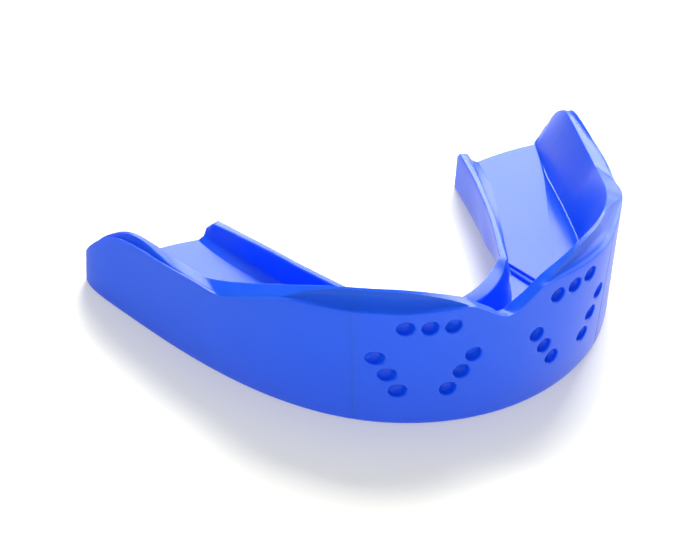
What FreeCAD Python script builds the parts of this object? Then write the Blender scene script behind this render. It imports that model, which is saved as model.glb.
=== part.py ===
# Boil-and-bite mouthguard, upper arch, adult size.
#
# Frame: +X towards the wearer's left, the front of the arch faces -Y, the two
# arms run back towards +Y, +Z up. The origin is at the middle of the footprint,
# on the flat underside. Millimetres.
#
# The guard is moulded in layers: a firm outer skin in three lengths (front panel
# and two flanks, met at the two fine vertical seams), a softer tray inside it
# (channel floor, fit wall and rim), the wall on the tongue side, and two raised
# bite pads.
import FreeCAD, Part
import os, math
import Sketcher

V = FreeCAD.Vector
doc = FreeCAD.newDocument("Mouthguard")

# ------------------------------------------------------------------ dimensions
sheet = doc.addObject("Spreadsheet::Sheet", "Dims")
ROWS = [
    ("y_shift", 22.35),        # from the front of the arch to the footprint's middle
    ("blank_height", 21.00),   # height of the wall blanks before their tops are cut
    ("skin_thickness", 1.55),  # outer skin
    ("tray_depth", 6.20),      # depth of the tray's block before the channel is cut
    ("floor_height", 3.33),    # channel floor
    ("pad_height", 0.72),      # raised molar pads above the channel floor
    ("palatal_height", 8.19),  # blank height of the tongue-side wall
    ("dimple_diameter", 2.10),
    ("dimple_depth", 8.00),    # run of the dimple cutter through the front skin
]
for i, (alias, value) in enumerate(ROWS):
    cell = "B%d" % (i + 1)
    sheet.set("A%d" % (i + 1), alias)
    sheet.set(cell, "%.4f" % value)
    sheet.setAlias(cell, alias)

# Outer edge of the underside: half of the arch, from the midline back.
ARCH = [(0.0, 0.00), (3.96, 0.33), (7.83, 1.31), (11.51, 2.90), (14.90, 5.01), (17.92, 7.60),
        (20.56, 10.58), (22.87, 13.86), (24.88, 17.37), (26.62, 21.04), (28.16, 24.80),
        (29.52, 28.63), (30.74, 32.46), (31.88, 36.24), (32.95, 39.92), (34.01, 43.60),
        (34.83, 46.35)]
for i, (px, py) in enumerate(ARCH):
    sheet.set("D%d" % (i + 1), "arch point %d" % i)
    sheet.set("E%d" % (i + 1), "%.4f" % px)
    sheet.setAlias("E%d" % (i + 1), "arch_across_%02d" % i)
    sheet.set("F%d" % (i + 1), "%.4f" % py)
    sheet.setAlias("F%d" % (i + 1), "arch_back_%02d" % i)
doc.recompute()
D = {alias: float(sheet.get(alias)) for alias, _ in ROWS}
ARCH = [(float(sheet.get("arch_across_%02d" % i)), float(sheet.get("arch_back_%02d" % i)))
        for i in range(len(ARCH))]

# ------------------------------------------------------------------ arch maths
def arch_curve():
    """Spline through the underside's outer edge, right rear to left rear."""
    pts = [V(-x, y, 0) for x, y in reversed(ARCH[1:])] + [V(x, y, 0) for x, y in ARCH]
    c = Part.BSplineCurve()
    c.interpolate(pts)
    return c

CURVE = arch_curve()
LENGTH = CURVE.length()
HALF = LENGTH / 2.0

def arch_at(s):
    """Point and inward normal at arc length s from the midline (+ is the left arm)."""
    u = CURVE.parameterAtDistance(HALF + s)
    p = CURVE.value(u)
    t = CURVE.tangent(u)[0]
    return p, V(-t.y, t.x, 0)

def offset_points(depth, s_end, count):
    """Points at a depth inside the outer edge, right rear to left rear."""
    out = []
    for i in range(count):
        s = -s_end + 2.0 * s_end * i / (count - 1)
        p, n = arch_at(s)
        out.append(V(p.x + n.x * depth, p.y + n.y * depth, 0))
    return out

# Outward lean of the outer face, per mm of height, along the arch (arc length, mm).
# The face flares most beside the canines and turns slightly inwards at the rear.
LEAN = [(0.0, 0.069), (4.5, 0.071), (7.2, 0.08), (9.9, 0.094), (11.7, 0.101), (13.5, 0.103), (16.2, 0.097),
        (18.45, 0.08), (20.25, 0.069), (22.5, 0.062), (27.0, 0.058), (34.2, 0.054), (38.7, 0.031),
        (42.75, 0.006), (46.8, -0.017), (50.4, -0.033), (54.0, -0.042), (63.0, -0.046)]

def read(rows, v):
    """Straight-line reading of a table, held at its ends."""
    v = abs(v)
    if v <= rows[0][0]:
        return rows[0][1]
    for (a, b), (c, d) in zip(rows, rows[1:]):
        if v <= c:
            return b + (d - b) * (v - a) / (c - a)
    return rows[-1][1]

def curve_points(depth_of, s_end, count):
    """Points at a depth that varies along the arch, right rear to left rear."""
    out = []
    for i in range(count):
        s = -s_end + 2.0 * s_end * i / (count - 1)
        p, n = arch_at(s)
        d = depth_of(s)
        out.append(V(p.x + n.x * d, p.y + n.y * d, 0))
    return out

def half_table(rows):
    """Mirror a table of (across, back) to a full list, right to left."""
    return [V(-x, y, 0) for x, y in reversed(rows) if x > 1e-6] + [V(x, y, 0) for x, y in rows]

# ------------------------------------------------------------------ helpers
def plane_of(body, role):
    return [f for f in body.Origin.OriginFeatures if f.Role == role][0]

def new_body(label):
    body = doc.addObject("PartDesign::Body", label)
    body.Label = label
    body.setExpression("Placement.Base.y", "-%s.y_shift" % sheet.Name)
    return body

def new_sketch(body, name, role, lift=None):
    sk = body.newObject("Sketcher::SketchObject", name)
    sk.AttachmentSupport = (plane_of(body, role), [""])
    sk.MapMode = "FlatFace"
    if lift is not None:
        sk.setExpression("AttachmentOffset.Base.z", lift)
    return sk

def spline(points):
    c = Part.BSplineCurve()
    c.interpolate(points)
    return c

def band(sk, outer, inner):
    """Closed band between two splines, joined by straight ends."""
    a = sk.addGeometry(spline(outer))
    b = sk.addGeometry(spline(inner))
    c = sk.addGeometry(Part.LineSegment(outer[-1], inner[-1]))
    d = sk.addGeometry(Part.LineSegment(inner[0], outer[0]))
    return a, b, c, d

def polygon(sk, pts):
    """Closed polygon, its corners joined and fixed where they are drawn."""
    vs = [V(p[0], p[1], 0) for p in pts]
    n = len(vs)
    ids = [sk.addGeometry(Part.LineSegment(vs[i], vs[(i + 1) % n])) for i in range(n)]
    for i in range(n):
        sk.addConstraint(Sketcher.Constraint("Coincident", ids[i], 2, ids[(i + 1) % n], 1))
    return ids

def loft(body, name, lower, upper):
    f = body.newObject("PartDesign::AdditiveLoft", name)
    f.Profile = (lower, [""])
    f.Sections = [(upper, [""])]
    f.Ruled = True
    return f

def cut_through(body, name, sk, reversed_=False, both=True, length=None, taper=None):
    f = body.newObject("PartDesign::Pocket", name)
    f.Profile = (sk, [""])
    if length is None:
        f.Type = "ThroughAll"
    else:
        f.Type = "Length"
        f.Length = float(length)
    if both:
        f.Midplane = True
    f.Reversed = reversed_
    doc.recompute()
    return f

def wall_blank(body, depth_out, depth_in, height_alias, s_end, inner_leans=True, count=41):
    """Ruled wall between two depths that follows the lean of the outer face."""
    top = D[height_alias]
    lo = new_sketch(body, "Foot", "XY_Plane")
    band(lo, offset_points(depth_out, s_end, count), offset_points(depth_in, s_end, count))
    hi = new_sketch(body, "Crown", "XY_Plane", "%s.%s" % (sheet.Name, height_alias))
    band(hi, curve_points(lambda s: depth_out - read(LEAN, s) * top, s_end, count),
         curve_points(lambda s: depth_in - (read(LEAN, s) * top if inner_leans else 0.0), s_end, count))
    f = loft(body, "Wall", lo, hi)
    doc.recompute()
    return f

# ------------------------------------------------------------------ outlines
S_END = HALF - 0.02
BIG = 60.0

# Height of the skin's top edge against distance back (side view).
SKIN_TOP = [(-6.0, 17.18), (0.9, 17.12), (2.1, 17.08), (3.83, 16.93), (5.35, 16.61), (7.22, 16.36),
            (9.01, 16.19), (10.79, 15.97), (12.55, 15.53), (14.37, 14.73), (16.15, 13.87), (17.96, 13.0),
            (19.64, 12.26), (20.32, 12.09), (23.33, 11.96), (26.8, 11.7), (30.64, 11.27), (34.21, 10.84),
            (36.04, 10.58), (37.69, 10.28), (38.98, 9.88), (40.49, 9.05), (42.19, 7.7), (44.03, 5.85),
            (45.22, 4.5), (45.81, 3.69), (46.6, 2.8)]
# Height of the rim on the tray's fit wall.
RIM_TOP = [(-6.0, 18.3), (1.3, 18.3), (1.87, 18.68), (2.29, 18.95), (3.61, 19.17), (5.41, 18.99), (7.24, 18.63),
           (8.97, 18.09), (10.82, 17.42), (12.61, 16.65), (14.42, 15.93), (16.2, 15.12), (18.01, 14.31),
           (19.77, 13.55), (21.61, 12.83), (23.39, 12.22), (24.39, 11.99), (28.82, 11.68), (32.43, 11.65),
           (36.04, 11.61), (37.24, 11.38), (38.7, 10.58), (40.51, 9.09), (42.41, 7.74), (44.02, 6.39),
           (45.45, 4.77), (46.6, 3.6)]
# The V notch for the lip tie, front view: half widths and heights.
NOTCH_SKIN = [(0.0, 14.45), (0.66, 14.62), (1.88, 15.31), (3.48, 16.43), (4.56, 17.05), (5.8, 19.6)]
NOTCH_TRAY = [(0.0, 13.55), (0.42, 13.68), (1.02, 14.4), (1.99, 15.24), (2.96, 15.97), (4.02, 16.79),
              (5.07, 17.46), (6.99, 18.18), (8.71, 18.68), (11.0, 19.5)]

def side_profile(body, table, name):
    """Cut everything above a side-view profile, across the whole width."""
    before = body.Shape.Volume
    sk = new_sketch(body, name + "Sketch", "YZ_Plane")
    polygon(sk, table + [(BIG, table[-1][1]), (BIG, 40.0), (-6.0, 40.0)])
    f = cut_through(body, name, sk)
    assert body.Shape.Volume < before - 1.0, name
    return f

def front_profile(body, half, name):
    """Cut the V notch, seen from the front, through the front wall only."""
    before = body.Shape.Volume
    sk = new_sketch(body, name + "Sketch", "XZ_Plane")
    pts = [(-x, z) for x, z in reversed(half[1:])] + list(half)
    polygon(sk, pts + [(half[-1][0], 40.0), (-half[-1][0], 40.0)])
    f = cut_through(body, name, sk, length=24.0)
    assert body.Shape.Volume < before - 0.5, name
    return f

def seam_point(side, s_seam=17.75):
    p, n = arch_at(side * s_seam)
    return p, n

def seam_cutter(side, keep_front):
    """Plan polygon on one side of the seam line, which runs square to the arch."""
    p, n = seam_point(side)
    a = p - n * 8.0
    b = p + n * 9.0
    t = V(n.y, -n.x, 0) * side          # along the arch, towards the rear
    if not keep_front:
        t = t * -1.0
    return a, b, t

def cut_plan(body, pts, name, least=1.0):
    before = body.Shape.Volume
    sk = new_sketch(body, name + "Sketch", "XY_Plane")
    polygon(sk, pts)
    f = cut_through(body, name, sk, length=120.0)
    assert body.Shape.Volume < before - least, name
    return f

# ------------------------------------------------------------------ outer skin
def skin_blank(label):
    body = new_body(label)
    wall_blank(body, 0.0, D["skin_thickness"], "blank_height", S_END)
    return body

pL, nL = seam_point(1)
A_IN = pL + nL * 9.0
A_OUT = pL - nL * 9.0

# Rear outline in plan: the two inner walls and the channel end near one line across,
# the outer wall runs on a little and its end is rounded.
REAR = [(0.0, 43.0), (17.6, 42.9), (18.6, 42.3), (19.8, 41.9), (24.0, 42.1), (28.4, 42.2), (31.0, 44.1),
        (33.3, 45.7), (33.75, 44.7), (34.3, 43.0), (42.0, 42.0)]
def rear_cut(body):
    pts = [(-x, y) for x, y in reversed(REAR[1:])] + list(REAR)
    cut_plan(body, pts + [(42.0, BIG), (-42.0, BIG)], "RearCut", least=0.05)

# Front panel: the length between the two seams.
front = skin_blank("front_panel")
cut_plan(front, [(A_OUT.x, A_OUT.y), (A_IN.x, A_IN.y), (0.0, A_IN.y + 3.0), (-A_IN.x, A_IN.y),
                 (-A_OUT.x, A_OUT.y), (-BIG, A_OUT.y), (-BIG, BIG), (BIG, BIG), (BIG, A_OUT.y)],
         "SeamCut")
side_profile(front, SKIN_TOP, "TopCut")
front_profile(front, NOTCH_SKIN, "NotchCut")

# Dimples: nine on each side in a triangle, drilled straight back through the skin.
DIMPLES = [(12.02, 14.85), (9.41, 14.76), (6.77, 14.64), (14.72, 10.12), (13.44, 7.70),
           (12.24, 5.24), (4.14, 9.92), (5.44, 7.60), (6.86, 5.20)]
before = front.Shape.Volume
dk = new_sketch(front, "DimpleSketch", "XZ_Plane")
for dx, dz in DIMPLES:
    for sgn in (1, -1):
        g = dk.addGeometry(Part.Circle(V(sgn * dx, dz, 0), V(0, 0, 1), D["dimple_diameter"] / 2.0))
        k = dk.addConstraint(Sketcher.Constraint("Diameter", g, D["dimple_diameter"]))
        dk.setExpression("Constraints[%d]" % k, "%s.dimple_diameter" % sheet.Name)
dp = front.newObject("PartDesign::Pocket", "Dimples")
dp.Profile = (dk, [""])
dp.Type = "Length"
dp.Midplane = True
dp.Length = 24.0
dp.setExpression("Length", "3 * %s.dimple_depth" % sheet.Name)
doc.recompute()
assert before - front.Shape.Volume > 18 * 3.0, "dimples"

# Flank shells: from each seam to the rear end of the arm.
def flank(label, side):
    body = skin_blank(label)
    o = V(A_OUT.x * side, A_OUT.y, 0)
    i = V(A_IN.x * side, A_IN.y, 0)
    cut_plan(body, [(o.x, o.y), (i.x, i.y), (i.x, BIG), (-side * BIG, BIG), (-side * BIG, -20.0),
                    (o.x, -20.0)], "SeamCut")
    side_profile(body, SKIN_TOP, "TopCut")
    rear_cut(body)
    return body

right_flank = flank("right_flank_shell", -1)
left_flank = flank("left_flank_shell", 1)

# ------------------------------------------------------------------ tray liner
tray = new_body("tray_liner")
wall_blank(tray, D["skin_thickness"], D["tray_depth"], "blank_height", S_END, inner_leans=False)
side_profile(tray, RIM_TOP, "RimCut")
front_profile(tray, NOTCH_TRAY, "NotchCut")

# The fit wall's inner face: depth inside the arch curve at the channel floor and at the
# height of the blank, along the arch.
CAV_LOW = [(0.0, 3.88), (3.6, 3.9), (14.4, 3.89), (21.6, 3.9), (25.2, 3.98), (28.8, 4.13), (32.4, 4.32),
           (36.0, 5.02), (39.6, 5.65), (43.2, 5.89), (46.8, 5.79), (50.4, 5.48), (54.0, 5.28), (63.0, 5.28)]
CAV_TOP = [(0.0, -0.40), (3.6, -0.45), (7.2, -0.33), (10.8, -0.32), (14.4, -0.23), (18.0, -0.14), (21.6, 0.05),
           (25.2, 0.07), (28.8, -0.11), (32.4, -0.52), (36.0, -1.76), (39.6, -2.75), (43.2, -2.9), (46.8, -2.8),
           (50.4, -2.75), (54.0, -2.83), (63.0, -2.83)]
before = tray.Shape.Volume
c0 = new_sketch(tray, "ChannelFoot", "XY_Plane", "%s.floor_height" % sheet.Name)
c1 = new_sketch(tray, "ChannelCrown", "XY_Plane", "%s.blank_height" % sheet.Name)
END = S_END - 0.01
band(c0, curve_points(lambda s: read(CAV_LOW, s), END, 41), offset_points(9.5, END, 41))
band(c1, curve_points(lambda s: read(CAV_TOP, s), END, 41), offset_points(9.5, END, 41))
ch = tray.newObject("PartDesign::SubtractiveLoft", "Channel")
ch.Profile = (c0, [""])
ch.Sections = [(c1, [""])]
ch.Ruled = True
doc.recompute()
assert tray.Shape.Volume < before - 500.0, "channel"

# Channel floor: from the fit wall's foot to the foot of the tongue-side wall.
PALATE_FOOT = [(0.0, 11.34), (2.95, 11.80), (5.74, 12.88), (8.24, 14.53), (9.58, 15.73), (10.44, 16.70),
               (11.21, 18.23), (12.25, 20.77), (13.46, 24.24), (14.25, 27.82), (14.91, 31.42), (15.75, 35.0),
               (16.45, 38.6), (16.95, 41.3), (17.35, 43.30)]
fl = new_sketch(tray, "FloorSketch", "XY_Plane")
band(fl, offset_points(4.2, S_END, 41), half_table(PALATE_FOOT))
floor = tray.newObject("PartDesign::Pad", "ChannelFloor")
floor.Profile = (fl, [""])
floor.Length = D["floor_height"]
floor.setExpression("Length", "%s.floor_height" % sheet.Name)
doc.recompute()
rear_cut(tray)

# ------------------------------------------------------------------ palatal wall
# Tongue-side wall on the channel floor; it leans in towards the palate.
PAL_IN_LOW = PALATE_FOOT
PAL_OUT_LOW = [(0.0, 9.24), (3.54, 9.84), (6.73, 11.47), (9.19, 14.09), (10.23, 15.98), (10.82, 17.3),
               (11.45, 18.91), (12.68, 21.51), (13.97, 24.7), (15.37, 27.85), (16.99, 30.9), (18.53, 33.99),
               (19.91, 37.14), (20.45, 40.0), (20.60, 43.30)]
PAL_IN_TOP = [(0.0, 12.48), (2.54, 13.0), (4.88, 14.15), (7.03, 15.63), (8.27, 16.61), (9.08, 17.45),
              (9.75, 18.94), (10.74, 21.42), (11.97, 24.76), (13.15, 28.11), (14.18, 31.51), (15.19, 34.91),
              (16.1, 38.31), (16.8, 41.0), (17.4, 43.30)]
PAL_OUT_TOP = [(0.0, 11.1), (2.8, 11.52), (5.42, 12.62), (7.72, 14.33), (8.98, 15.57), (9.78, 16.55),
               (10.39, 18.15), (11.32, 20.68), (12.55, 24.05), (13.62, 27.49), (14.55, 31.02), (15.7, 34.64),
               (16.64, 38.08), (17.35, 40.8), (18.0, 43.30)]
PAL_PROFILE = [(-6.0, 7.74), (12.94, 7.75), (14.09, 7.8), (15.59, 7.89), (16.6, 8.05), (17.28, 8.15),
               (18.93, 8.12), (21.4, 8.06), (24.74, 7.89), (28.09, 7.7), (31.5, 7.44), (34.92, 7.1), (38.36, 6.66),
               (40.95, 6.31), (42.2, 6.1), (43.4, 5.5)]

palatal = new_body("palatal_wall")
lo = new_sketch(palatal, "Foot", "XY_Plane", "%s.floor_height" % sheet.Name)
hi = new_sketch(palatal, "Crown", "XY_Plane", "%s.palatal_height" % sheet.Name)
k = D["floor_height"] / D["palatal_height"]
def mix(a, b, w):
    return [(p[0] * (1 - w) + q[0] * w, p[1] * (1 - w) + q[1] * w) for p, q in zip(a, b)]
band(lo, half_table(PAL_OUT_LOW), half_table(mix(PAL_IN_LOW, PAL_IN_TOP, k)))
band(hi, half_table(PAL_OUT_TOP), half_table(PAL_IN_TOP))
loft(palatal, "Wall", lo, hi)
doc.recompute()
before = palatal.Shape.Volume
pk = new_sketch(palatal, "TopSketch", "YZ_Plane")
polygon(pk, PAL_PROFILE + [(BIG, 5.5), (BIG, 40.0), (-6.0, 40.0)])
cut_through(palatal, "TopCut", pk)
assert palatal.Shape.Volume < before - 1.0
rear_cut(palatal)

# ------------------------------------------------------------------ bite pads
# Raised molar pads on the channel floor; their front ends are cut on a slant.
STEP_LINE = [(9.2, 35.0), (13.78, 16.2), (17.5, 0.9)]

def pad(label, side):
    body = new_body(label)
    s0, n = 14.0, 25
    rise = D["pad_height"] / (D["blank_height"] - D["floor_height"])
    w = D["pad_height"] / (D["palatal_height"] - D["floor_height"])
    foot = half_table(PAL_OUT_LOW)
    crown = half_table(mix(PAL_OUT_LOW, PAL_OUT_TOP, w))
    def fit_side(up):
        pts = []
        for i in range(n):
            s = s0 + (END - s0) * i / (n - 1)
            p, nn = arch_at(s)
            dep = read(CAV_LOW, s) * (1.0 - up) + read(CAV_TOP, s) * up
            pts.append(V((p.x + nn.x * dep) * side, p.y + nn.y * dep, 0))
        return pts
    def tongue_side(pts):
        return [V(p.x * side, p.y, 0) for p in pts if p.x > 8.0]
    low = new_sketch(body, "Foot", "XY_Plane", "%s.floor_height" % sheet.Name)
    high = new_sketch(body, "Crown", "XY_Plane",
                      "%s.floor_height + %s.pad_height" % (sheet.Name, sheet.Name))
    band(low, fit_side(0.0), tongue_side(foot))
    band(high, fit_side(rise), tongue_side(crown))
    loft(body, "Pad", low, high)
    doc.recompute()
    cut_plan(body, [(x * side, y) for x, y in STEP_LINE] + [(-side * 5.0, 0.9), (-side * 5.0, 35.0)],
             "FrontCut")
    rear_cut(body)
    return body

right_pad = pad("right_bite_pad", -1)
left_pad = pad("left_bite_pad", 1)
doc.recompute()

NODES = {"front_panel": front, "right_flank_shell": right_flank, "left_flank_shell": left_flank,
         "tray_liner": tray, "palatal_wall": palatal, "right_bite_pad": right_pad,
         "left_bite_pad": left_pad}

bad = [o.Name for o in doc.Objects if ("Invalid" in o.State or "Error" in o.State)]
if bad:
    raise SystemExit("failed objects: %s" % bad)
for name, body in NODES.items():
    shape = body.Shape
    if shape.isNull() or not shape.isValid() or len(shape.Solids) < 1:
        raise SystemExit("bad shape: " + name)
os.makedirs("parts", exist_ok=True)
for name, body in NODES.items():
    body.Shape.exportStep("parts/%s.step" % name)
    bb = body.Shape.BoundBox
    print("%-20s solids %d vol %8.1f  x %.2f..%.2f y %.2f..%.2f z %.2f..%.2f" % (
        name, len(body.Shape.Solids), body.Shape.Volume, bb.XMin, bb.XMax, bb.YMin, bb.YMax,
        bb.ZMin, bb.ZMax))
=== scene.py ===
import bpy, bmesh, math
import numpy as np
from mathutils import Vector, Matrix
from mathutils.geometry import delaunay_2d_cdt


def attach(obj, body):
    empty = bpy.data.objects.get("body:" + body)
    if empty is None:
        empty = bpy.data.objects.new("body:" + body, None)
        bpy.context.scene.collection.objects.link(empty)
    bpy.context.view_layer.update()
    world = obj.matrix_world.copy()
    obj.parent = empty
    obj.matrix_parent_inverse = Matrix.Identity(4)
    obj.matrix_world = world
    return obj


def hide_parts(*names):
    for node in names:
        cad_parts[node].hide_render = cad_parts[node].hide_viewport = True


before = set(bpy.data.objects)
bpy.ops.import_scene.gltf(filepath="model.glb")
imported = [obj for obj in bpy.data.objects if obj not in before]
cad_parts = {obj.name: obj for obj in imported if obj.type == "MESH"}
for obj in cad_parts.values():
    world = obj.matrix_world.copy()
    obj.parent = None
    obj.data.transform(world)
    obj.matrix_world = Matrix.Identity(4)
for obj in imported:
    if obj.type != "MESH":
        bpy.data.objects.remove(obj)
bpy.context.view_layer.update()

# ---------------------------------------------------------------- units
# Tables below are in design units of 0.9 mm, y from the front of the arch.
K = 0.9
YS = 22.35            # mm from the front of the arch to the row's origin
M = 0.001


def to_m(p):
    p = np.asarray(p, float)
    out = p * K
    out[..., 1] -= YS
    return out * M


# ---------------------------------------------------------------- small maths
def pchip(xs, ys):
    """Monotone cubic through a table; returns a function."""
    x = np.asarray(xs, float); y = np.asarray(ys, float)
    h = np.diff(x); dl = np.diff(y) / h
    m = np.zeros_like(y)
    for i in range(1, len(x) - 1):
        if dl[i - 1] * dl[i] > 0:
            w1 = 2 * h[i] + h[i - 1]; w2 = h[i] + 2 * h[i - 1]
            m[i] = (w1 + w2) / (w1 / dl[i - 1] + w2 / dl[i])
    m[0], m[-1] = dl[0], dl[-1]

    def f(q):
        q = np.clip(np.asarray(q, float), x[0], x[-1])
        i = np.clip(np.searchsorted(x, q, side="right") - 1, 0, len(x) - 2)
        t = (q - x[i]) / h[i]
        return ((2 * t**3 - 3 * t**2 + 1) * y[i] + (t**3 - 2 * t**2 + t) * h[i] * m[i]
                + (-2 * t**3 + 3 * t**2) * y[i + 1] + (t**3 - t**2) * h[i] * m[i + 1])
    return f


def table(rows):
    xs, ys = zip(*rows)
    return pchip(xs, ys)


def lin(rows):
    xs, ys = zip(*rows)
    return lambda q: np.interp(q, xs, ys)


def smooth(a, b, v):
    t = np.clip((v - a) / (b - a), 0, 1)
    return t * t * (3 - 2 * t)


def spline2(pts, n):
    """Natural cubic spline through plan points, densely sampled."""
    p = np.asarray(pts, float)
    t = np.concatenate([[0], np.cumsum(np.hypot(*np.diff(p, axis=0).T))])
    k = len(t); h = np.diff(t)
    A = np.zeros((k, k)); B = np.zeros((k, 2))
    A[0, 0] = A[-1, -1] = 1
    for i in range(1, k - 1):
        A[i, i - 1] = h[i - 1]; A[i, i] = 2 * (h[i - 1] + h[i]); A[i, i + 1] = h[i]
        B[i] = 6 * ((p[i + 1] - p[i]) / h[i] - (p[i] - p[i - 1]) / h[i - 1])
    m = np.linalg.solve(A, B)
    q = np.linspace(0, t[-1], n)
    i = np.clip(np.searchsorted(t, q, side="right") - 1, 0, k - 2)
    a = ((t[i + 1] - q) / h[i])[:, None]; b = ((q - t[i]) / h[i])[:, None]; hh = h[i][:, None]
    return a * p[i] + b * p[i + 1] + ((a**3 - a) * m[i] + (b**3 - b) * m[i + 1]) * hh**2 / 6


class Curve:
    """A plan curve mirrored about x = 0, read by signed arc length."""
    def __init__(self, half):
        full = [(-x, y) for x, y in reversed(half[1:])] + list(half)
        c = spline2(full, 6001)
        c = (c + c[::-1] * [-1, 1]) / 2
        s = np.concatenate([[0], np.cumsum(np.hypot(*np.diff(c, axis=0).T))])
        self.s = s - s[3000]; self.c = c
        d = np.gradient(c, axis=0); d /= np.linalg.norm(d, axis=1)[:, None]
        self.n = np.column_stack([-d[:, 1], d[:, 0]])
        self.end = self.s[-1]

    def at(self, s):
        return np.array([np.interp(s, self.s, self.c[:, 0]), np.interp(s, self.s, self.c[:, 1])])

    def normal(self, s):
        v = np.array([np.interp(s, self.s, self.n[:, 0]), np.interp(s, self.s, self.n[:, 1])])
        return v / np.linalg.norm(v)


ARCH = Curve([(0, 0.0), (4.4, .37), (8.7, 1.46), (12.79, 3.22), (16.56, 5.57), (19.91, 8.44),
              (22.85, 11.75), (25.41, 15.4), (27.64, 19.3), (29.58, 23.38), (31.29, 27.56),
              (32.8, 31.81), (34.16, 36.07), (35.42, 40.27), (36.61, 44.36), (37.79, 48.44), (38.7, 51.5)])
S_END = 68.6

# ---------------------------------------------------------------- profiles along the arch
def soft(rows, sigma, end=70.0, step=0.05):
    """A table softened by a short moving average, so that the faces bend evenly."""
    f = table(rows)
    q = np.arange(-end, end + step, step)
    v = f(np.abs(q))
    k = np.arange(-int(3 * sigma / step), int(3 * sigma / step) + 1) * step
    w = np.exp(-0.5 * (k / sigma)**2); w /= w.sum()
    pad = len(k) // 2
    v = np.convolve(np.pad(v, pad, mode="edge"), w, "valid")
    return lambda s: np.interp(np.abs(s), q[len(q) // 2:], v[len(q) // 2:])


# outward lean of the outer face
LEAN = soft([(0, .069), (5, .069), (8, .080), (11, .095), (15, .105), (18, .101), (20.5, .078), (24, .063),
             (30, .058), (38, .056), (43, .030), (47.5, .006), (52, -.017), (56, -.034), (60, -.043), (70, -.046)], 1.6)
# plan rounding of the rear end
INSET = soft([(0, 0), (61, 0), (63, .03), (64.5, .11), (66, .30), (67, .55), (68, .95), (68.6, 1.3), (70, 2.2)], 0.3)
Z_OUT = table([(0, 16.05), (.7, 16.25), (3.7, 18.26), (4.85, 18.95), (5.4, 19.08), (7.4, 19.1), (10.2, 19.08), (12.9, 19.0),
               (15.3, 18.98), (17.8, 18.83), (20.2, 18.45), (22.8, 18.18), (25.3, 17.99), (27.7, 17.75), (30, 17.26),
               (32.3, 16.37), (34.5, 15.41), (36.7, 14.45), (38.7, 13.62), (39.5, 13.43), (41, 13.34), (43.1, 13.29),
               (45.2, 13.18), (47.2, 12.98), (49.3, 12.76), (51.4, 12.52), (53.4, 12.42), (55.5, 12.26), (57.6, 12.02),
               (59.5, 11.66), (61, 11.15), (62.75, 10.12), (64.7, 8.55), (66.75, 6.5), (68.0, 5.0), (68.6, 4.1), (70, 2.5)])
# the inner crest of the rim: depth from the arch curve, and height
D_C = soft([(0, 1.95), (1.2, 1.3), (3.4, .8), (5.8, .55), (10, .25), (11.4, .17), (14.6, .20), (18.1, .30), (21.1, .48), (23.6, .75),
            (26.2, .95), (28.6, 1.15), (31, 1.28), (33.3, 1.38), (35.6, 1.49), (37.8, 1.54), (42.3, 1.50), (44.5, 1.6),
            (48.7, 1.89), (52.9, 2.07), (57.1, 2.14), (62, 2.1), (70, 2.1)], 0.5)
Z_C = table([(0, 15.05), (.5, 15.2), (1.2, 16.0), (3.4, 17.75), (5.8, 19.4), (8, 20.2), (10, 20.75), (11.4, 21.05), (14.6, 21.3), (18.1, 21.1),
             (21.1, 20.7), (23.6, 20.1), (26.2, 19.35), (28.6, 18.5), (31, 17.7), (33.3, 16.8), (35.6, 15.9), (37.8, 15.05),
             (40.1, 14.25), (42.3, 13.58), (43.3, 13.35), (44.5, 13.2), (48.7, 12.98), (52.9, 12.9), (57.1, 12.7), (58.8, 12.35),
             (60.6, 11.6), (62.5, 10.4), (64.5, 8.8), (66.35, 6.9), (68, 4.9), (70, 2.9)])
# scoop in the front of the rim: how far in its crease lies, and the slope of the flat above it
D_SCOOP = soft([(0, 0), (4.6, 0), (6, .40), (8, .95), (10, 1.28), (13, 1.58), (16, 1.68), (20, 1.62), (23, 1.4), (26, 1.0),
                (28.5, .45), (30.2, 0), (70, 0)], 0.35)
M_FLAT = table([(0, .05), (5, .05), (10, .22), (16, .34), (22, .38), (30, .36), (70, .36)])
# the crease low on the fit wall and the edge of the bite surface
D_F = soft([(0, 4.0), (24, 4.0), (35.4, 4.15), (40, 4.75), (44.9, 5.3), (49, 5.6), (53, 5.72), (56, 5.6), (60, 5.4), (63.2, 5.25), (70, 5.0)], 0.8)
Z_F = soft([(0, 5.0), (24, 5.2), (33, 5.9), (45, 5.85), (50, 5.5), (54, 5.0), (58, 4.75), (70, 4.62)], 0.8)
D_G = soft([(0, 5.9), (18, 6.2), (24, 6.9), (33, 7.5), (38.6, 7.8), (43, 7.6), (47.1, 7.2), (51.5, 6.55), (55.8, 5.95), (60, 5.6), (63.2, 5.4), (70, 5.2)], 0.8)
PAD_Z = 4.5
FLOOR_Z = 3.7
Z_G = lin([(0, FLOOR_Z), (22.6, FLOOR_Z), (24.2, PAD_Z - .03), (70, PAD_Z - .03)])
GROOVE = table([(0, 0), (39.0, 0), (39.8, .10), (42, .17), (46, .20), (52, .24), (57, .34), (60.5, .40), (63, .3), (65.5, .12),
                (67.5, 0), (70, 0)])
D_VAL = table([(0, .4), (40, .34), (52, .38), (58, .58), (62, .60), (70, .5)])
REAR_W = table([(0, 0), (58.5, 0), (60, .03), (62, .12), (64.5, .33), (66.5, .62), (68.6, 1), (70, 1.2)])
SLANT = 1.37
SKIN = 1.72           # thickness of the outer skin


def skew(s):
    return 3.8 * smooth(33.5, 39.2, s) * (1 - smooth(46, 58, s))


def at(side, s, d, z):
    """A point by arc position, depth inside the arch curve, and height."""
    p = ARCH.at(side * s) + ARCH.normal(side * s) * d
    return np.array([p[0], p[1], z])


def d_out(s, z):
    return float(INSET(s) - LEAN(s) * z)


def face(side, s, z, e=0.0):
    return at(side, s, d_out(s, z) + e, z)


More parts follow.
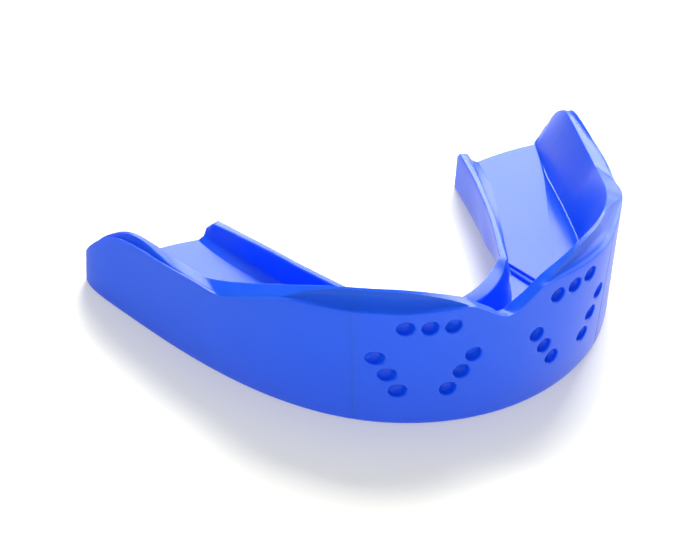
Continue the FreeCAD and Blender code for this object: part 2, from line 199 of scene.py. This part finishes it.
class Row:
    """Everything needed to draw one cross-section of the outer wall."""
    def __init__(self, s, side, e=0.0):
        self.s, self.side, self.e = s, side, e
        zo = float(Z_OUT(s)) - e
        db = d_out(s, zo) + e
        k = float(skew(s)); w = float(REAR_W(s)) * SLANT
        self.db, self.zo, self.k, self.w = db, zo, k, w
        sc = s + k
        for _ in range(3):
            dc = float(D_C(sc)); sc = s + k - w * max(0.0, dc - db)
        self.sc, self.dc = sc, max(dc, db + 0.5)
        self.zc = float(Z_C(sc)) - e
        sf = s + k
        for _ in range(3):
            df = float(D_F(sf)); sf = s + k - w * (df - db)
        self.sf, self.df = sf, df
        self.zf = min(float(Z_F(sf)), self.zc - 0.15)
        sg = s + k
        for _ in range(4):
            dg = float(D_G(sg)); sg = s + k - w * (dg - db)
        self.sg, self.dg = sg, dg
        self.zg = min(float(Z_G(sg)), self.zf - 0.1)
        self.low = at(side, s - w * max(0.0, float(INSET(s)) + SKIN - db), float(INSET(s)) + SKIN, 0.0)
        self.B = at(side, s, db, zo)
        self.C = at(side, self.sc, self.dc, self.zc)
        self.F = at(side, self.sf, self.df, self.zf)
        self.G = at(side, self.sg, self.dg, self.zg)

    def top(self, l, z):
        """Point over the top of the wall at lateral distance l from the outer edge."""
        t = l / (self.dc - self.db)
        s = self.s + (self.sc - self.s) * t
        return at(self.side, s, self.db + l, z)

    def profile(self):
        """Points from the outer edge B to the joint Q, and the joint to the crest C."""
        width = self.dc - self.db
        zo, zc = self.zo, self.zc
        ds = float(D_SCOOP(self.s)); g = float(GROOVE(self.s))
        m = float(M_FLAT(self.s))
        chord = lambda l: zo + (zc - zo) * l / width
        if g > 1e-4:
            lv = min(float(D_VAL(self.s)), 0.45 * width)
            wv = min(1.0, g / 0.25)
            zv = chord(lv) * (1 - wv) + (zo - g) * wv
            rise = max(0.0, zc - zv)
            lr = lv + min(0.95 * rise + 0.02, 0.55 * (width - lv))
            zr = zc - 0.10 * (width - lr)
            zr = max(zr, zv + 0.3 * rise)
            def up(l):
                if l < lr:
                    u = (l - lv) / (lr - lv)
                    return zv + (zr - zv) * u * u * (3 - 2 * u)
                return zr + (zc - zr) * (l - lr) / (width - lr)
            pts = []
            for i in range(1, 6):
                l = lv * i / 6.0
                u = i / 6.0
                z = (zo + (zv - zo) * (u * u * (3 - 2 * u))) * wv + chord(l) * (1 - wv)
                pts.append((l, z))
            D = (lv, zv)
            lq = lv + 0.12 * (width - lv)
            Q = (lq, up(lq) * wv + chord(lq) * (1 - wv))
            rest = []
            for u in (0.20, 0.28, 0.36, 0.44, 0.52, 0.60, 0.75, 0.88):
                l = lv + (width - lv) * u
                rest.append((l, up(l) * wv + chord(l) * (1 - wv)))
            return pts, D, Q, rest
        w = min(1.0, ds / 0.5)
        w = w * w * (3 - 2 * w)
        ld = 0.5 * (1 - w) * 0.6 + max(ds, 0.02) * w + 0.02
        ld = min(ld, width - 0.32)
        zd = (zc - m * (width - ld)) * w + chord(ld) * (1 - w)
        c = (ld * 0.90, zo + 0.16 * (zd - zo))
        pts = []
        for i in range(1, 6):
            t = i / 6.0
            bx = 2 * t * (1 - t) * c[0] + t * t * ld
            bz = (1 - t)**2 * zo + 2 * t * (1 - t) * c[1] + t * t * zd
            l = bx * w + ld * t * (1 - w)
            z = bz * w + chord(l) * (1 - w)
            pts.append((l, z))
        D = (ld, zd)
        flat = lambda l: (zc - (zc - zd) * (width - l) / max(width - ld, 1e-6))
        lq = ld + 0.10 * (width - ld)
        Q = (lq, flat(lq))
        rest = []
        for u in (0.20, 0.28, 0.36, 0.44, 0.52, 0.60, 0.75, 0.88):
            l = ld + (width - ld) * u
            rest.append((l, flat(l)))
        return pts, D, Q, rest


# ---------------------------------------------------------------- contour helper
def contour(ctrl, closed=True):
    """ctrl: list of (point3, radius, divisions of the segment that follows).
    Corners are rounded with short arcs; every row gets the same number of points."""
    n = len(ctrl); out = []
    P = [np.asarray(c[0], float) for c in ctrl]
    for i in range(n):
        p = P[i]; r = ctrl[i][1]
        if not closed and i in (0, n - 1):
            arc = [p]
        elif r <= 0:
            arc = [p]
        else:
            a = P[(i - 1) % n] - p; b = P[(i + 1) % n] - p
            la, lb = np.linalg.norm(a), np.linalg.norm(b)
            t = min(r, 0.45 * la, 0.45 * lb)
            A = p + a / max(la, 1e-9) * t; Bp = p + b / max(lb, 1e-9) * t
            arc = [(1 - u)**2 * A + 2 * u * (1 - u) * (0.12 * (A + Bp) / 2 + 0.88 * p) + u * u * Bp for u in (0, .25, .5, .75, 1)]
        out.append(arc)
    pts = []
    for i in range(n):
        pts.extend(out[i])
        if i == n - 1 and not closed:
            break
        k = ctrl[i][2]
        a = out[i][-1]; b = out[(i + 1) % n][0]
        for j in range(1, k):
            pts.append(a + (b - a) * j / k)
    return np.array(pts)


def mesh_object(name, verts, faces, smooth_angle=32):
    me = bpy.data.meshes.new(name)
    me.from_pydata([tuple(v) for v in to_m(np.array(verts))], [], [tuple(int(i) for i in f) for f in faces])
    me.validate(clean_customdata=False)
    bm = bmesh.new(); bm.from_mesh(me)
    bmesh.ops.remove_doubles(bm, verts=bm.verts, dist=2e-6)
    bmesh.ops.dissolve_degenerate(bm, edges=bm.edges, dist=1e-6)
    bmesh.ops.recalc_face_normals(bm, faces=bm.faces)
    if bm.calc_volume(signed=True) < 0:
        bmesh.ops.reverse_faces(bm, faces=bm.faces)
    for f in bm.faces:
        f.smooth = True
    lim = math.radians(smooth_angle)
    for e in bm.edges:
        if len(e.link_faces) == 2 and e.calc_face_angle(0) > lim:
            e.smooth = False
    bm.to_mesh(me); bm.free()
    ob = bpy.data.objects.new(name, me)
    bpy.context.collection.objects.link(ob)
    return ob


def strip(rows, closed=True):
    """Rows of equal length to quads; each row wraps back to its first point when closed."""
    verts = []; faces = []
    n = len(rows[0])
    for r in rows:
        verts.extend(r)
    m = len(rows)
    for i in range(m - 1):
        for j in range(n if closed else n - 1):
            a = i * n + j; b = i * n + (j + 1) % n
            faces.append((a, b, b + n, a + n))
    return verts, faces


def cap(verts, faces, start, n):
    """Close the end of a strip with triangles laid out in the x-z plane."""
    flat = [Vector((float(verts[start + j][0]), float(verts[start + j][2]))) for j in range(n)]
    res = delaunay_2d_cdt(flat, [], [list(range(n))], 1, 1e-6)
    tris = [[res[3][i] for i in f] for f in res[2]]
    if any(not k for f in tris for k in f):
        faces.append([start + j for j in range(n)])
        return
    for f in tris:
        faces.append([start + k[0] for k in f])


def rows_between(*parts):
    out = []
    for a, b, step in parts:
        k = max(1, int(round((b - a) / step)))
        out.extend(list(np.linspace(a, b, k + 1))[:-1])
    out.append(parts[-1][1])
    return out


DOTS = [(13.35, 16.5), (10.46, 16.4), (7.52, 16.27), (16.35, 11.25), (14.93, 8.55), (13.6, 5.82),
        (4.60, 11.02), (6.04, 8.45), (7.62, 5.78)]


# ---------------------------------------------------------------- outer skin
SEAM = 19.75
NF = 16               # divisions up the outer face
HALF_F = rows_between((0.0, 1.2, 0.15), (1.2, 5.8, 0.2), (5.8, SEAM - 0.12, 0.4), (SEAM - 0.12, SEAM, 0.06))


def skin_ctrl(row, seam=0.0):
    s, side, e = row.s, row.side, row.e
    pts, D, Q, rest = row.profile()
    ctrl = [(face(side, s, 0.0, e + seam), 0.22, NF), (row.B + 0.0, 0.17, 1)]
    if seam > 0:
        ctrl[1] = (at(side, s, row.db + seam, row.zo), 0.17, 1)
    for l, z in pts:
        ctrl.append((row.top(max(l, seam + 0.02), z), 0.0, 1))
    ctrl.append((row.top(max(D[0], seam + .04), D[1]), 0.10, 1))
    ctrl.append((row.top(*Q), 0.0, 3))
    ctrl.append((row.low + 0.0, 0.0, 2))
    return ctrl


def bend(c, row, j0, j1, seam=0.0):
    """Put the outer face's points on the true surface."""
    for j in range(j0, j1):
        z = c[j][2]
        c[j] = face(row.side, row.s, z, row.e + seam)
    return c


def front_panel():
    ss = [-v for v in reversed(HALF_F[1:])] + HALF_F
    cols = []
    for s in ss:
        a = abs(s); side = 1 if s >= 0 else -1
        sm = 0.05 * max(0.0, (a - (SEAM - 0.12)) / 0.12)
        r = Row(a, side)
        cols.append(contour(skin_ctrl(r, seam=sm)))
    # contour index: bottom corner arc 0..4, face points, then top corner arc
    J = 4 + NF
    low = [c[4] for c in cols]; high = [c[J] for c in cols]
    n = len(cols[0])
    verts = []; faces = []
    for c in cols:
        verts.extend(c)
    for i in range(len(cols) - 1):
        for j in range(n):
            if 4 <= j < J:
                continue            # outer face comes from the panel mesh
            a = i * n + j; b = i * n + (j + 1) % n
            faces.append((a, b, b + n, a + n))
    NZ = 44
    left = [low[0] + (high[0] - low[0]) * k / NZ for k in range(1, NZ)]
    right = [low[-1] + (high[-1] - low[-1]) * k / NZ for k in range(1, NZ)]
    loop = low + right + high[::-1] + left[::-1]
    coords = [(p[0], p[2]) for p in loop]
    p3 = [p for p in loop]
    nb = len(loop)
    edges = [(i, (i + 1) % nb) for i in range(nb)]
    R = 1.08; RF = 0.27; NR = 40
    dots = [(sx * x, z) for x, z in DOTS for sx in (1, -1)]
    s_fine = np.linspace(-SEAM - 1, SEAM + 1, 2001)
    px = np.array([ARCH.at(s) for s in s_fine]); pn = np.array([ARCH.normal(s) for s in s_fine])
    lf = np.array([float(LEAN(s)) for s in s_fine])

    def on_face(x, z):
        X = px[:, 0] - pn[:, 0] * lf * z
        s = np.interp(x, X, s_fine)
        q = face(1 if s >= 0 else -1, abs(s), z); q[0] = x
        return q

    rings = []
    for (cx, cz) in dots:
        start = len(coords)
        for k in range(NR):
            th = 2 * math.pi * k / NR
            x = cx + (R + RF) * math.cos(th); z = cz + (R + RF) * math.sin(th)
            coords.append((x, z)); p3.append(on_face(x, z))
        for k in range(NR):
            edges.append((start + k, start + (k + 1) % NR))
        rings.append(start)
    for (cx, cz) in dots:
        for rr, cnt in ((R + RF + 0.14, 32),):
            for k in range(cnt):
                th = 2 * math.pi * (k + .5) / cnt
                x = cx + rr * math.cos(th); z = cz + rr * math.sin(th)
                if all(math.hypot(x - a, z - b) > R + RF + 0.10 for a, b in dots):
                    coords.append((x, z)); p3.append(on_face(x, z))
    xl = max(p[0] for p in loop)
    for x in np.arange(-xl + .35, xl - .3, 0.42):
        top_s = np.interp(x, [c[J][0] for c in cols], [c[J][2] for c in cols])
        for z in np.arange(0.62, top_s - .3, 0.42):
            xr = np.interp(z, [p[2] for p in right], [p[0] for p in right])
            if abs(x) > xr - .3:
                continue
            if all(math.hypot(x - a, z - b) > R + RF + 0.42 for a, b in dots):
                coords.append((x, z)); p3.append(on_face(x, z))
    res = delaunay_2d_cdt([Vector(c) for c in coords], edges, [list(range(nb))], 1, 1e-6)
    rv, rf, orig = res[0], res[2], res[3]
    base = len(verts)
    for i, v in enumerate(rv):
        o = orig[i]
        verts.append(p3[o[0]] if len(o) else on_face(v[0], v[1]))
    for f in rf:
        c = sum((rv[i] for i in f), Vector((0, 0))) / len(f)
        if any((c[0] - a)**2 + (c[1] - b)**2 < (R + RF)**2 * .985 for a, b in dots):
            continue
        faces.append([base + i for i in f])
    # dimple bowls: rounded rim, short wall, domed floor, all along Y
    depth = 1.35
    for (cx, cz) in dots:
        y0 = on_face(cx, cz)[1]
        ringset = []
        prof = [("rim", u) for u in np.linspace(0, 1, 6)] + [("wall", u) for u in (0.0, .45, 0.8)]
        prof += [("dome", a) for a in np.linspace(15, 85, 8)]
        for kind, u in prof:
            pts = []
            for k in range(NR):
                th = 2 * math.pi * k / NR
                c, s_ = math.cos(th), math.sin(th)
                if kind == "rim":
                    r = R + RF * (1 - math.sin(u * math.pi / 2)); dy = RF * (1 - math.cos(u * math.pi / 2))
                    x, z = cx + r * c, cz + r * s_
                    y = on_face(x, z)[1] + dy
                else:
                    ys = on_face(cx + R * c, cz + R * s_)[1] + RF
                    yf = y0 + depth - R * 0.62
                    if kind == "wall":
                        x, z = cx + R * c, cz + R * s_
                        y = ys + max(0.02, (yf - ys)) * (0.1 + 0.9 * u)
                    else:
                        ang = math.radians(u)
                        r = R * math.cos(ang)
                        x, z = cx + r * c, cz + r * s_
                        yw = ys + max(0.02, (yf - ys)) * (0.1 + 0.9 * .8)
                        y = yw + (y0 + depth - yw) * math.sin(ang)
                pts.append(np.array([x, y, z]))
            ringset.append(pts)
        b0 = len(verts)
        for pts in ringset:
            verts.extend(pts)
        for i in range(len(ringset) - 1):
            for k in range(NR):
                a = b0 + i * NR + k; b = b0 + i * NR + (k + 1) % NR
                faces.append((a, b, b + NR, a + NR))
        ctr = len(verts); verts.append(np.array([cx, y0 + depth, cz]))
        last = b0 + (len(ringset) - 1) * NR
        for k in range(NR):
            faces.append((last + k, last + (k + 1) % NR, ctr))
    for col, seam in ((cols[0], left), (cols[-1], right)):
        ring = list(col[:5]) + list(seam) + list(col[J:])
        s0 = len(verts)
        verts.extend(ring)
        faces.append([s0 + k for k in range(len(ring))])
    return mesh_object("front_panel_skin", verts, faces)


END_R = 0.55
TAIL = [(S_END - END_R + END_R * math.sin(a), END_R * (1 - math.cos(a)))
        for a in np.radians([0, 20, 38, 54, 68, 80, 90])]
HALF_R = rows_between((SEAM, SEAM + 0.12, 0.06), (SEAM + 0.12, 38.5, 0.45), (38.5, 40.5, 0.2), (40.5, 57, 0.45),
                      (57, 63, 0.3), (63, 68, 0.2))
HALF_R = [v for v in HALF_R if v < S_END - END_R - 0.08]


def flank(side, name):
    rows = []
    seq = [(s, 0.0) for s in HALF_R] + TAIL
    for s, e in seq:
        sm = 0.05 * max(0.0, (SEAM + 0.12 - s) / 0.12)
        r = Row(s, side, e)
        c = contour(skin_ctrl(r, seam=sm))
        rows.append(c)
    verts, faces = strip(rows)
    n = len(rows[0])
    cap(verts, faces, 0, n); cap(verts, faces, (len(rows) - 1) * n, n)
    return mesh_object(name, verts, faces)


# ---------------------------------------------------------------- tongue side
class Two:
    """A tongue-side line: front length to the corner, then the arm; mirrored by sign of u."""
    def __init__(self, front, rear, uc=0.40):
        full = [(-x, y) for x, y in reversed(front[1:])] + list(front)
        f = spline2(full, 801)
        f = (f + f[::-1] * [-1, 1]) / 2
        self.f = f[400:]; self.r = spline2(rear, 401); self.uc = uc
        def arc(c):
            a = np.concatenate([[0], np.cumsum(np.hypot(*np.diff(c, axis=0).T))])
            return a / a[-1]
        self.af, self.ar = arc(self.f), arc(self.r)

    def at(self, u):
        a = abs(u)
        if a <= self.uc:
            c, t, q = self.f, self.af, a / self.uc
        else:
            c, t, q = self.r, self.ar, (a - self.uc) / (1 - self.uc)
        x = np.interp(q, t, c[:, 0]); y = np.interp(q, t, c[:, 1])
        return np.array([x if u >= 0 else -x, y])


RIM_IN = Two([(0, 13.8), (3.3, 14.55), (7.7, 17.2), (10.1, 19.2)],
             [(10.1, 19.2), (11.24, 22), (12.44, 25), (13.55, 28), (14.62, 31), (15.53, 34), (16.43, 37), (17.29, 40),
              (18.06, 43), (18.57, 45), (19.25, 47.4)])
RIM_OUT = Two([(0, 12.1), (3.2, 12.6), (6.8, 14.3), (9.3, 16.5), (10.9, 18.3)],
              [(10.9, 18.3), (12.1, 21.6), (13.3, 24.7), (14.4, 27.7), (15.4, 30.7), (16.3, 33.7), (17.25, 36.7), (18.2, 39.8),
               (19.05, 42.8), (19.65, 44.8), (20.5, 46.9)])
FOOT = Two([(0, 10.3), (4, 11.0), (8, 13.2), (10.4, 16.0), (12.0, 19.2)],
           [(12.0, 19.2), (13.2, 22.8), (14.5, 26.6), (15.8, 30.2), (17.0, 33.5), (18.1, 36.8), (19.2, 39.9), (20.2, 43.0), (21.2, 46.3)])
PLATE = Two([(0, 9.9), (4.2, 10.6), (8.4, 12.9), (10.9, 15.8), (12.5, 19.0)],
            [(12.5, 19.0), (13.9, 22.6), (15.4, 26.3), (16.9, 29.9), (18.3, 33.2), (19.6, 36.4), (20.7, 39.6), (21.5, 42.8), (22.1, 46.3)])
BASE = Two([(0, 12.6), (3.6, 13.2), (7.9, 15.2), (11.6, 18.4)],
           [(11.6, 18.4), (13.2, 22.0), (14.5, 25.6), (15.5, 28.9), (16.2, 33.3), (16.9, 36.2), (17.6, 39.4), (18.3, 43), (19.2, 47.9)])
Z_RIM = table([(0, 8.6), (.12, 8.62), (.32, 8.8), (.40, 9.05), (.48, 8.98), (.6, 8.72), (.7, 8.42), (.8, 8.0), (.9, 7.4), (1.0, 6.75)])


def palatal():
    rows = []
    us = rows_between((0, .36, .012), (.36, .44, .004), (.44, .96, .012), (.96, 1.0, .004))
    us = [-v for v in reversed(us[1:])] + us
    for u in us:
        a = abs(u)
        zr = float(Z_RIM(a))
        end = smooth(.965, 1.0, a)
        base, ri, ro, ft, pl = (c.at(u) for c in (BASE, RIM_IN, RIM_OUT, FOOT, PLATE))
        # level that the slope runs down to: the front floor, or the bite pad
        w = float(smooth(.43, .50, a))
        low = FLOOR_Z * (1 - w) + PAD_Z * w - 0.03
        zf = low + 0.45 * w + 0.10
        zr2 = zr - 0.9 * end**2
        b3 = np.array([*base, 0.0]); ri3 = np.array([*ri, zr2]); ro3 = np.array([*ro, zr2 - 0.08 - 0.35 * (1 - float(smooth(.30, .42, a)))])
        ft3 = np.array([*ft, zf]); pl3 = np.array([*pl, low])
        under = np.array([*pl, FLOOR_Z - 0.9]); und0 = np.array([*(base + (pl - base) * 0.5), 0.0])
        ctrl = [(b3, 0.15, 5), (ri3, 0.20, 2), (ro3, 0.20, 5), (ft3, 0.12, 2), (pl3, 0.0, 1), (under, 0, 1), (und0, 0, 2)]
        rows.append(contour(ctrl))
    verts, faces = strip(rows)
    n = len(rows[0])
    cap(verts, faces, 0, n); cap(verts, faces, (len(rows) - 1) * n, n)
    return mesh_object("palatal_wall_skin", verts, faces)


# ---------------------------------------------------------------- tray liner
U_STEP = 0.50


def u_of(sg):
    """Matching station along the tongue-side lines for an arc position on the wall."""
    return float(np.interp(sg, [0, 16.0, 24.3, 63.2], [0, 0.36, U_STEP, 1.0]))


def liner():
    half = rows_between((0.0, 1.2, 0.15), (1.2, 5.8, 0.2), (5.8, 38.5, 0.45), (38.5, 40.5, 0.2),
                        (40.5, 57, 0.45), (57, 63, 0.3), (63, 68, 0.2))
    half = [(v, 0.0) for v in half if v < S_END - END_R - 0.08] + TAIL
    seq = [(-s, e) for s, e in reversed(half[1:])] + half
    rows = []
    for s, e in seq:
        a = abs(s); side = 1 if s >= 0 else -1
        r = Row(a, side, e)
        pts, D, Q, rest = r.profile()
        u = u_of(r.sg) * side
        pl = PLATE.at(u); bs = BASE.at(u)
        hid = 0.03
        inner = np.array([*(pl + (bs - pl) * 0.35), FLOOR_Z])
        ib = np.array([inner[0], inner[1], 0.0])
        ctrl = [(r.top(Q[0] - hid, Q[1] - .002), 0, 1)]
        for l, z in rest:
            ctrl.append((r.top(l, z), 0.0, 1))
        ctrl.append((r.C, 0.34, 7))
        ctrl.append((r.F, 0.03, 1))
        led = 0.15 * float(smooth(30, 34, a) * (1 - smooth(54, 58, a)))
        ctrl.append((at(side, r.sf, r.df + 0.02 + led, r.zf - 0.01), 0.02, 1))
        # hollow fillet from the crease down to the bite surface
        F2, G2 = r.F, r.G
        c = F2 + (G2 - F2) * 0.36; c[2] = G2[2] + 0.34 * (F2[2] - G2[2])
        for t in (.18, .34, .5, .66, .82):
            ctrl.append(((1 - t)**2 * F2 + 2 * t * (1 - t) * c + t * t * G2, 0.0, 1))
        ctrl.append((G2, 0.0, 1))
        Gl = at(side, r.sg, r.dg + 0.05, min(FLOOR_Z, r.zg) - 0.0)
        ctrl.append((Gl, 0.0, 4))
        ctrl.append((inner, 0, 2)); ctrl.append((ib, 0, 3))
        ctrl.append((at(side, r.sg, r.dg, 0.0), 0, 2))
        ctrl.append((r.low + 0.0, 0, 3))
        rows.append(contour(ctrl))
    verts, faces = strip(rows)
    n = len(rows[0])
    cap(verts, faces, 0, n); cap(verts, faces, (len(rows) - 1) * n, n)
    return mesh_object("tray_liner_skin", verts, faces)


# ---------------------------------------------------------------- bite pads
def bite_pad(side, name):
    rows = []
    seq = rows_between((24.3, 62.6, 0.6), (62.6, 63.2, .15))
    for sg in seq:
        u = u_of(sg)
        ft = FOOT.at(u)
        dg = float(D_G(sg))
        G = at(1, sg, dg, PAD_Z)
        Gi = at(1, sg, dg - 0.5, PAD_Z)
        lo = at(1, sg, dg - 0.5, FLOOR_Z - 0.02)
        L = np.array([*ft, PAD_Z]); Lo = np.array([*ft, FLOOR_Z - 0.02])
        ctrl = [(Gi, 0, 1), (G, 0, 10), (L, 0, 2), (Lo, 0, 5), (lo, 0, 2)]
        row = contour(ctrl)
        t = np.clip(((row - G) @ (L - G)) / ((L - G) @ (L - G)), 0, 1)
        row[:, 1] += 0.35 * np.sin(np.pi * t) * smooth(52, 63.2, sg)
        rows.append(row)
    # step at the front end: riser, ledge, riser
    first = rows[0]; d = rows[1] - rows[0]
    d /= np.maximum(np.linalg.norm(d, axis=1), 1e-6)[:, None]
    out = []
    for back, drop in ((1.45, 0.85), (1.25, 0.66), (1.05, 0.44), (0.95, 0.40), (0.40, 0.36), (0.28, 0.28), (0.10, 0.06), (0.04, 0.02)):
        q = first - d * back
        top = first[:, 2] > FLOOR_Z + 0.1
        q[:, 2] = np.where(top, np.maximum(FLOOR_Z - 0.02, first[:, 2] - drop), first[:, 2])
        out.append(q)
    rows = out + rows
    for r in rows:
        r[:, 0] *= side
    verts, faces = strip(rows)
    n = len(rows[0])
    cap(verts, faces, 0, n); cap(verts, faces, (len(rows) - 1) * n, n)
    return mesh_object(name, verts, faces)


# ---------------------------------------------------------------- material
def eva(name, base, rough=0.30, sss=0.35):
    m = bpy.data.materials.new(name)
    m.use_nodes = True
    nt = m.node_tree; b = nt.nodes["Principled BSDF"]
    tc = nt.nodes.new("ShaderNodeTexCoord")
    no = nt.nodes.new("ShaderNodeTexNoise")
    no.inputs["Scale"].default_value = 700.0
    no.inputs["Detail"].default_value = 3.0
    nt.links.new(tc.outputs["Object"], no.inputs["Vector"])
    bump = nt.nodes.new("ShaderNodeBump")
    bump.inputs["Strength"].default_value = 0.04
    bump.inputs["Distance"].default_value = 0.0001
    nt.links.new(no.outputs["Fac"], bump.inputs["Height"])
    nt.links.new(bump.outputs["Normal"], b.inputs["Normal"])
    big = nt.nodes.new("ShaderNodeTexNoise")
    big.inputs["Scale"].default_value = 110.0
    big.inputs["Detail"].default_value = 2.0
    nt.links.new(tc.outputs["Object"], big.inputs["Vector"])
    mr = nt.nodes.new("ShaderNodeMapRange")
    mr.inputs["To Min"].default_value = rough - 0.03
    mr.inputs["To Max"].default_value = rough + 0.03
    nt.links.new(big.outputs["Fac"], mr.inputs["Value"])
    nt.links.new(mr.outputs["Result"], b.inputs["Roughness"])
    b.inputs["Base Color"].default_value = (*base, 1)
    b.inputs["IOR"].default_value = 1.44
    b.inputs["Subsurface Weight"].default_value = sss
    b.inputs["Subsurface Radius"].default_value = (0.2, 0.5, 1.0)
    b.inputs["Subsurface Scale"].default_value = 0.0012
    return m


BLUE = (0.004, 0.100, 0.88)
mat_skin = eva("eva_skin", BLUE, 0.33)
mat_liner = eva("eva_liner", BLUE, 0.30)
mat_pad = eva("eva_pad", BLUE, 0.34)

fp = front_panel()
rf = flank(-1, "right_flank_skin")
lf = flank(1, "left_flank_skin")
ln = liner()
pw = palatal()
rp = bite_pad(-1, "right_bite_pad_skin")
lp = bite_pad(1, "left_bite_pad_skin")

for ob, node, mat, slot in ((fp, "front_panel", mat_skin, "skin"), (rf, "right_flank_shell", mat_skin, "skin"),
                            (lf, "left_flank_shell", mat_skin, "skin"), (ln, "tray_liner", mat_liner, "liner"),
                            (pw, "palatal_wall", mat_liner, "liner"), (rp, "right_bite_pad", mat_pad, "pad"),
                            (lp, "left_bite_pad", mat_pad, "pad")):
    ob.data.materials.append(mat)
    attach(ob, "root")
    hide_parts(node)

# ---------------------------------------------------------------- stage
bpy.ops.mesh.primitive_plane_add(size=4.0, location=(0, 0, 0))
floor = bpy.context.active_object
floor.name = "floor"
fm = bpy.data.materials.new("floor_white"); fm.use_nodes = True
fb = fm.node_tree.nodes["Principled BSDF"]
fb.inputs["Base Color"].default_value = (0.94, 0.93, 0.83, 1)
fb.inputs["Emission Color"].default_value = (1.0, 1.0, 1.0, 1)
fb.inputs["Emission Strength"].default_value = 0.16
# The gloss sees the paper bright on the right and in front, dark behind on the left.
fn = fm.node_tree
f_lp = fn.nodes.new("ShaderNodeLightPath")
f_geo = fn.nodes.new("ShaderNodeNewGeometry")
f_dot = fn.nodes.new("ShaderNodeVectorMath"); f_dot.operation = "DOT_PRODUCT"
f_dot.inputs[1].default_value = (0.80, -0.60, 0.0)
fn.links.new(f_geo.outputs["Position"], f_dot.inputs[0])
f_map = fn.nodes.new("ShaderNodeMapRange")
f_map.inputs["From Min"].default_value = -0.03
f_map.inputs["From Max"].default_value = 0.05
f_map.inputs["To Min"].default_value = 0.60
f_map.inputs["To Max"].default_value = 1.5
fn.links.new(f_dot.outputs["Value"], f_map.inputs["Value"])
f_em = fn.nodes.new("ShaderNodeEmission")
fn.links.new(f_map.outputs["Result"], f_em.inputs["Strength"])
f_mix = fn.nodes.new("ShaderNodeMixShader")
fn.links.new(f_lp.outputs["Is Glossy Ray"], f_mix.inputs[0])
fn.links.new(fb.outputs["BSDF"], f_mix.inputs[1])
fn.links.new(f_em.outputs["Emission"], f_mix.inputs[2])
fn.links.new(f_mix.outputs["Shader"], fn.nodes["Material Output"].inputs["Surface"])
fb.inputs["Roughness"].default_value = 0.8
fb.inputs["Specular IOR Level"].default_value = 0.0
floor.data.materials.append(fm)

# Soft even studio light; what the gloss sees is a dark room with a bright wall behind.
w = bpy.data.worlds.new("studio"); bpy.context.scene.world = w
w.use_nodes = True
wn = w.node_tree; bg = wn.nodes["Background"]
lp_ = wn.nodes.new("ShaderNodeLightPath")
mx = wn.nodes.new("ShaderNodeMix"); mx.data_type = "FLOAT"
wn.links.new(lp_.outputs["Is Glossy Ray"], mx.inputs[0])
mx.inputs[2].default_value = 0.52
mx.inputs[3].default_value = 0.06
bg.inputs["Color"].default_value = (1, 1, 1, 1)
wn.links.new(mx.outputs[0], bg.inputs["Strength"])


def area(name, loc, target, size, power, color=(1, 1, 1), size_y=None, glossy=True, diffuse=True):
    l = bpy.data.lights.new(name, "AREA"); l.energy = power; l.color = color
    l.shape = "RECTANGLE"; l.size = size; l.size_y = size_y or size
    o = bpy.data.objects.new(name, l); bpy.context.collection.objects.link(o)
    o.location = loc
    d = Vector(target) - Vector(loc)
    o.rotation_euler = d.to_track_quat("-Z", "Y").to_euler()
    o.visible_glossy = glossy
    o.visible_diffuse = diffuse
    return o


def from_dir(az, el, dist):
    """Location at a compass angle (0 = behind, + = to the object's +X side) and height."""
    a, e = math.radians(az), math.radians(el)
    return (dist * math.sin(a) * math.cos(e), dist * math.cos(a) * math.cos(e), dist * math.sin(e))


KEY = area("key_overhead", (0.22, 0.26, 0.42), (0, 0, 0), 0.24, 3.4, glossy=False)
FRONT = area("fill_front", (-0.30, -0.55, 0.35), (0, 0, 0), 0.60, 1.15, glossy=False)
BACK = area("bright_wall", from_dir(38, 33, 0.9), (0, 0, 0), 1.05, 15.0, size_y=0.70, diffuse=False)
SIDE = area("side_wall", from_dir(88, 12, 0.9), (0, 0, 0), 0.55, 4.0, size_y=0.45, diffuse=False)

# ---------------------------------------------------------------- camera
cam = bpy.data.cameras.new("cam"); co = bpy.data.objects.new("cam", cam)
bpy.context.collection.objects.link(co)
cam.sensor_width = 36.0; cam.sensor_fit = "HORIZONTAL"
cam.lens = 2750.622 / 700 * 36.0
cam.clip_start = 0.01; cam.clip_end = 10
az, el, ro = math.radians(-27.16924), math.radians(36.03389), math.radians(0.59193)
back = Vector((math.sin(az) * math.cos(el), -math.cos(az) * math.cos(el), math.sin(el)))
right = Vector((math.cos(az), math.sin(az), 0)); fwd = -back; up = right.cross(fwd)
R_ = right * math.cos(ro) + up * math.sin(ro); U_ = -right * math.sin(ro) + up * math.cos(ro)
rot = Matrix((R_, U_, back)).transposed().to_4x4()
loc = Vector((-144.7991 * K, -238.83455 * K - YS, 224.13315 * K)) * M
co.matrix_world = Matrix.Translation(loc) @ rot
bpy.context.scene.camera = co
bpy.context.scene.view_settings.view_transform = "Standard"
